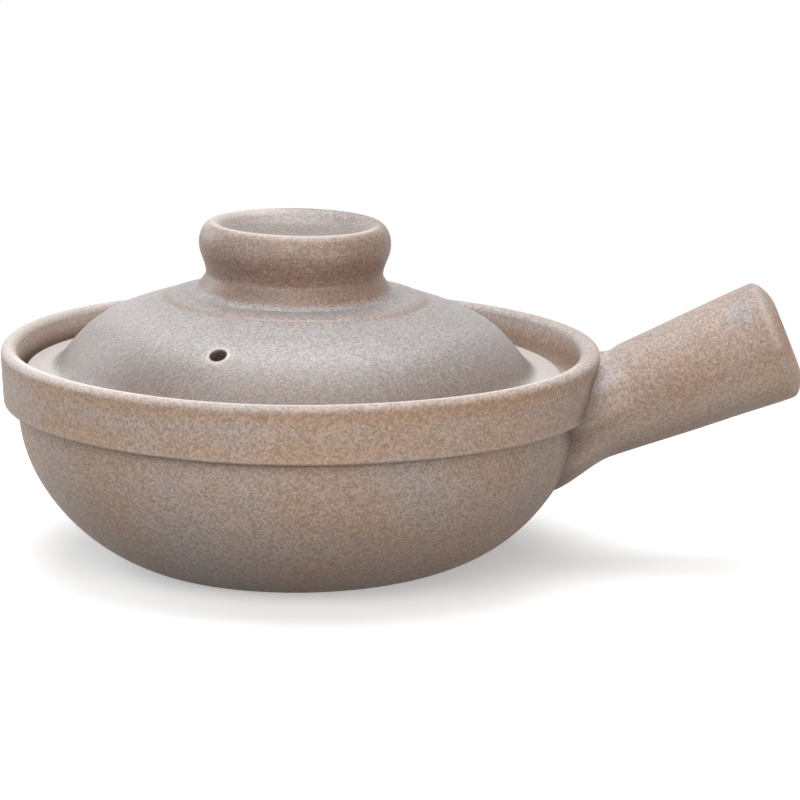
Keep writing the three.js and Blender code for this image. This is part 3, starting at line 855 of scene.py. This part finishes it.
def buildFloor():
    # a pale matt sheet under the pot; what the camera sees is brighter than what lights the
    # pot from below, so the ground stays white and the shadow stays soft
    mesh = bpy.data.meshes.new("floor")
    mesh.from_pydata([(-6, -6, 0), (6, -6, 0), (6, 6, 0), (-6, 6, 0)], [], [(0, 1, 2, 3)])
    floor = bpy.data.objects.new("floor", mesh)
    bpy.context.scene.collection.objects.link(floor)
    material = bpy.data.materials.new("pale_paper_sweep")
    material.use_nodes = True
    tree = material.node_tree
    tree.nodes.clear()
    rays = addNode(tree, "ShaderNodeLightPath").outputs
    seen = rays["Is Camera Ray"]
    for other in ("Is Glossy Ray", "Is Transmission Ray"):
        seen = addNode(tree, "ShaderNodeMath", {0: seen, 1: rays[other]},
                       operation="MAXIMUM").outputs[0]
    pale = addNode(tree, "ShaderNodeBsdfDiffuse", {"Color": linearColour("#f4f3f2")})
    glow = addNode(tree, "ShaderNodeEmission", {"Color": (1, 1, 1, 1), "Strength": 0.36})
    ground = addNode(tree, "ShaderNodeAddShader", {0: pale.outputs[0], 1: glow.outputs[0]})
    # the sheet fades to plain white away from the pot's shadow
    place = addNode(tree, "ShaderNodeTexCoord").outputs["Object"]
    away = addNode(tree, "ShaderNodeVectorMath", {0: place}, operation="LENGTH").outputs["Value"]
    away = addNode(tree, "ShaderNodeMapRange", {
        "Value": away, "From Min": 0.20, "From Max": 0.42}, interpolation_type="SMOOTHSTEP").outputs[0]
    white = addNode(tree, "ShaderNodeEmission", {"Color": (1, 1, 1, 1), "Strength": 1.0})
    ground = addNode(tree, "ShaderNodeMixShader", {
        0: away, 1: ground.outputs[0], 2: white.outputs[0]})
    bounce = addNode(tree, "ShaderNodeMix", {
        0: away, 6: linearColour("#5e5a57"), 7: linearColour("#aaa6a2")}, data_type="RGBA").outputs[2]
    lighting = addNode(tree, "ShaderNodeBsdfDiffuse", {"Color": bounce})
    both = addNode(tree, "ShaderNodeMixShader", {
        0: seen, 1: lighting.outputs[0], 2: ground.outputs[0]})
    addNode(tree, "ShaderNodeOutputMaterial", {"Surface": both.outputs[0]})
    mesh.materials.append(material)


lamps = {
    # name: place in metres, size in metres, watts, colour
    "overhead": ((0.0, 0.12, 1.30), 1.2, 17.0, (1, 1, 1)),
    "front": ((-0.15, -1.30, 0.85), 1.2, 12.0, (1, 1, 1)),
    "right": ((1.00, -1.00, 0.20), 0.6, 6.0, (1, 0.95, 0.90)),
    "left": ((-1.15, -0.75, 0.35), 0.8, 4.4, (0.84, 0.93, 1)),
    "leftBack": ((-1.10, 0.70, 0.50), 0.8, 5.5, (0.90, 0.96, 1)),
}


def buildLamps():
    for name, (place, size, watts, colour) in lamps.items():
        data = bpy.data.lights.new(name, "AREA")
        data.shape = "SQUARE"
        data.size = size
        data.energy = watts
        data.color = colour
        lamp = bpy.data.objects.new(name, data)
        bpy.context.scene.collection.objects.link(lamp)
        lamp.location = place
        aim = np.array([0.0, 0.0, 0.05]) - np.array(place)
        aim = aim / np.linalg.norm(aim)
        lamp.rotation_euler = (math.acos(-aim[2]), 0, math.atan2(aim[0], -aim[1]) + math.pi)
    world = bpy.data.worlds.new("studio")
    world.use_nodes = True
    tree = world.node_tree
    tree.nodes.clear()
    rays = addNode(tree, "ShaderNodeLightPath").outputs
    seen = addNode(tree, "ShaderNodeMath", {0: rays["Is Camera Ray"], 1: rays["Is Glossy Ray"]},
                   operation="MAXIMUM").outputs[0]
    seen = addNode(tree, "ShaderNodeMath", {0: seen, 1: rays["Is Transmission Ray"]},
                   operation="MAXIMUM").outputs[0]
    dim = addNode(tree, "ShaderNodeBackground", {"Color": (1, 1, 1, 1), "Strength": 0.12})
    white = addNode(tree, "ShaderNodeBackground", {"Color": (1, 1, 1, 1), "Strength": 1.0})
    both = addNode(tree, "ShaderNodeMixShader", {
        0: seen, 1: dim.outputs[0], 2: white.outputs[0]})
    addNode(tree, "ShaderNodeOutputWorld", {"Surface": both.outputs[0]})
    bpy.context.scene.world = world


view = {
    "place": (0.06447, -1.23016, 0.31628),
    "heading": -1.513,        # degrees clockwise from +Y, seen from above
    "pitch": 12.157,          # degrees below level
    "roll": 0.785,
    "lens": 177.75, "sensor": 36.0,
}


def buildCamera():
    data = bpy.data.cameras.new("camera")
    data.lens = view["lens"]
    data.sensor_width = view["sensor"]
    data.sensor_fit = "HORIZONTAL"
    data.clip_end = 50
    camera = bpy.data.objects.new("camera", data)
    bpy.context.scene.collection.objects.link(camera)
    heading = math.radians(-view["heading"])
    pitch = math.radians(90 - view["pitch"])
    turn = (math.cos(heading), math.sin(heading))
    right = np.array([turn[0], turn[1], 0])
    back = np.array([math.sin(pitch) * turn[1], -math.sin(pitch) * turn[0], math.cos(pitch)])
    top = np.cross(back, right)
    roll = math.radians(view["roll"])
    across = math.cos(roll) * right + math.sin(roll) * top
    upright = np.cross(back, across)
    matrix = np.eye(4)
    matrix[:3, 0], matrix[:3, 1], matrix[:3, 2] = across, upright, back
    matrix[:3, 3] = view["place"]
    camera.matrix_world = [list(row) for row in matrix.T]
    bpy.context.scene.camera = camera


buildFloor()
buildLamps()
buildCamera()
bpy.context.scene.view_settings.view_transform = "Standard"
print("floor, lamps and camera made")
